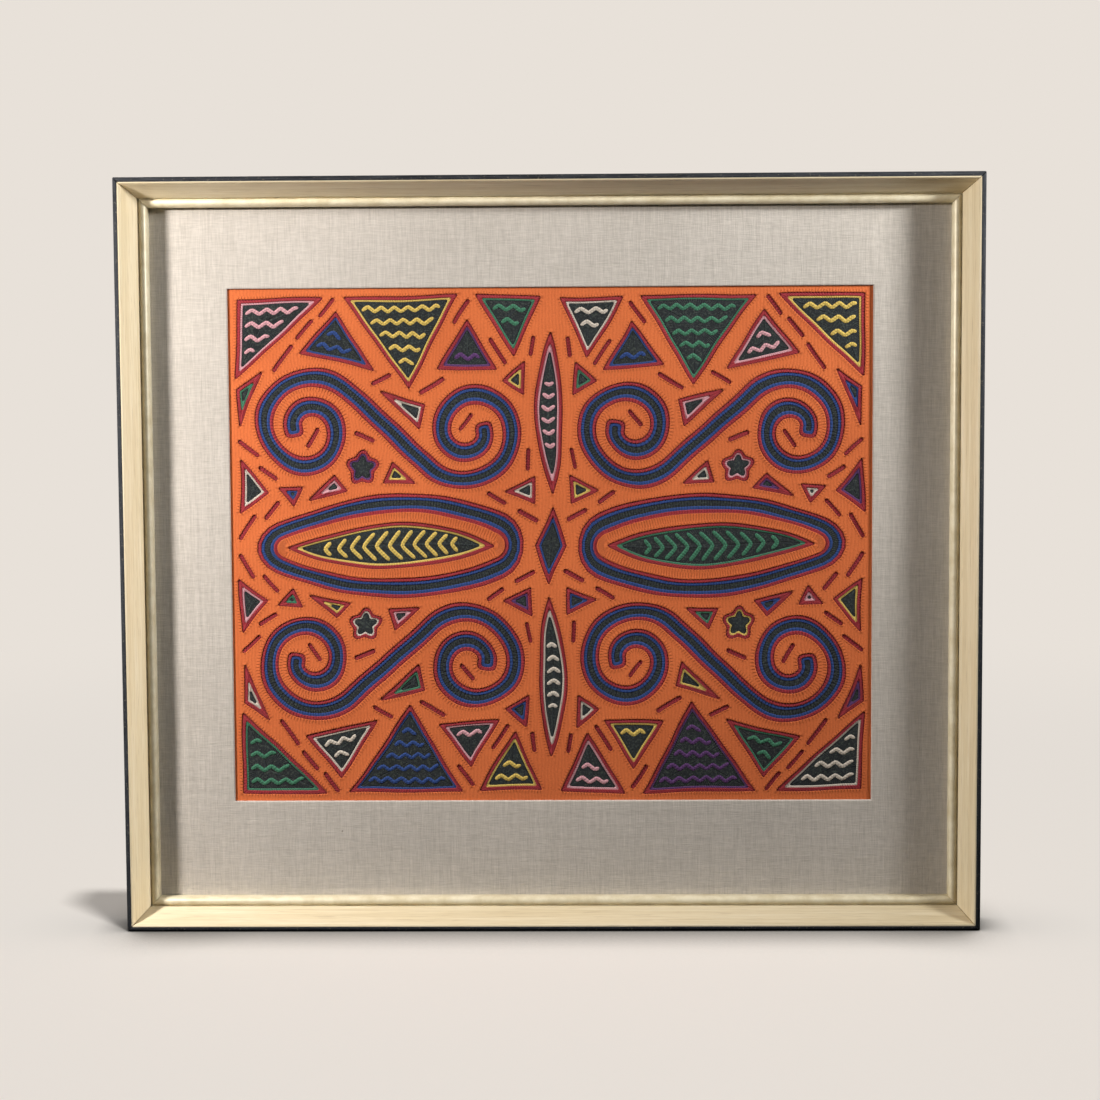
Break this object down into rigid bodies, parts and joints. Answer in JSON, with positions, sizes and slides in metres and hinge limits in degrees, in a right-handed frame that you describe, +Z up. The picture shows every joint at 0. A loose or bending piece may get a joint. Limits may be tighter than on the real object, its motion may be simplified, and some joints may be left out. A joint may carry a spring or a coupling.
{
  "type": "framed mola panel",
  "caption": "Applique cloth panel behind a linen mat in a deep wood frame with a beaded inner slip; it stands on its bottom rail.",
  "frame": {"origin": "under the middle of the frame's depth and width, on the surface that the frame stands on", "axes": "+X to the viewer's right along the frame's width, -Y out of the front of the panel, +Z up along the frame's height"},
  "size_m": [0.58, 0.04, 0.51],
  "materials": {
    "frame_wood": "clear satin on the bevel, black paint on the outer sides and front edge",
    "slip_wood": "pale gilt, satin",
    "linen": "natural plain weave over board",
    "mola_cotton": "layered and hand sewn cotton",
    "hardboard": "matt"
  },
  "bodies": {
    "root": {"rail_bottom": "frame_wood", "rail_right": "frame_wood", "rail_top": "frame_wood", "rail_left": "frame_wood", "slip_bottom": "slip_wood", "slip_right": "slip_wood", "slip_top": "slip_wood", "slip_left": "slip_wood", "linen_mat": "linen", "mola_cloth": "mola_cotton", "backing_board": "hardboard"}
  },
  "joints": []
}
